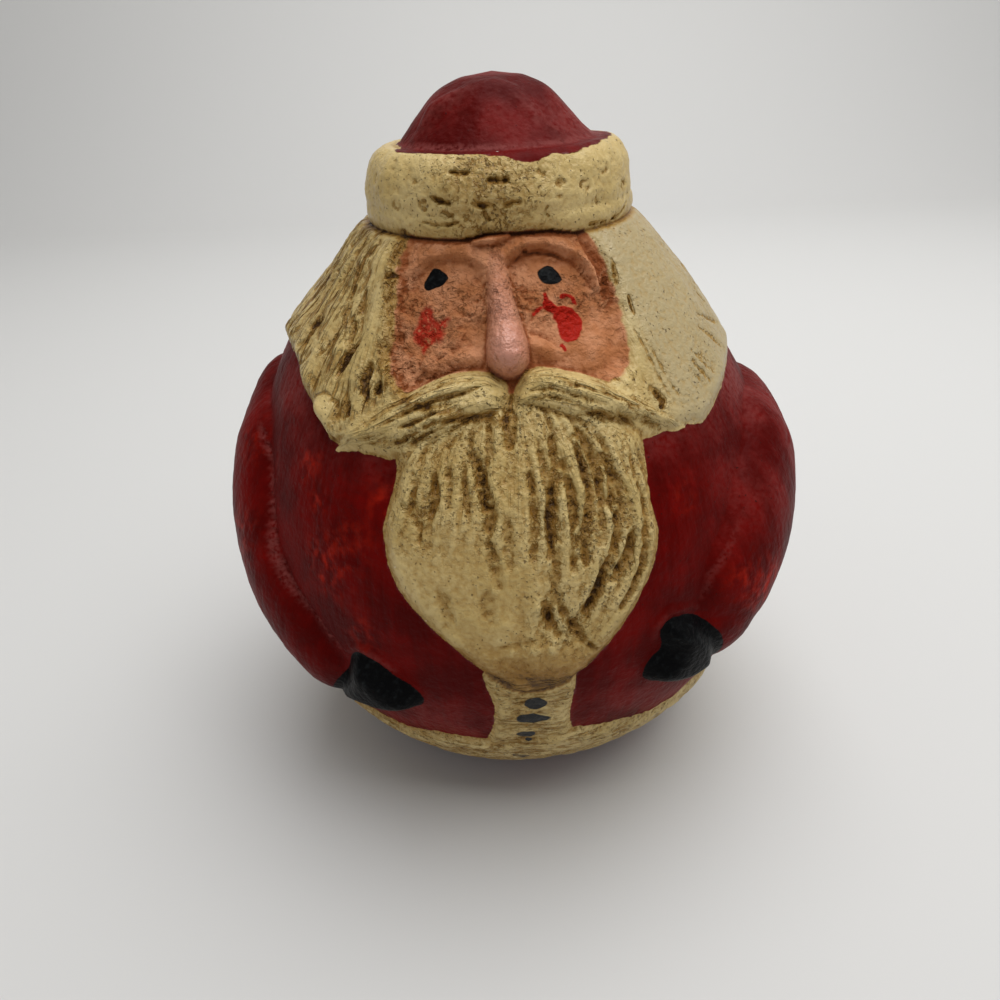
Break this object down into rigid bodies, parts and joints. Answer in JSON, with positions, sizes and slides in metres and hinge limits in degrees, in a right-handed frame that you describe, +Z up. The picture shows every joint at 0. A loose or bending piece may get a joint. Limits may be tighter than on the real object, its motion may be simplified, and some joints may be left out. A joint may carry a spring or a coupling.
{
  "type": "santa figurine",
  "caption": "Ball-bodied folk santa figurine with long hair, beard, fur-trimmed coat, mittens and a rolled hat band, standing on a small flat foot.",
  "frame": {"origin": "middle of the flat foot that the figurine stands on", "axes": "+Z up along the figure, -Y towards the front where the face looks, +X towards the viewer's right as seen from the front"},
  "size_m": [0.1482, 0.1442, 0.175],
  "materials": {
    "painted_clay": "hand-painted in satin red, matte cream with a brown antiquing wash, skin pink and black"
  },
  "bodies": {
    "root": {"santa_figure": "painted_clay"}
  },
  "joints": []
}
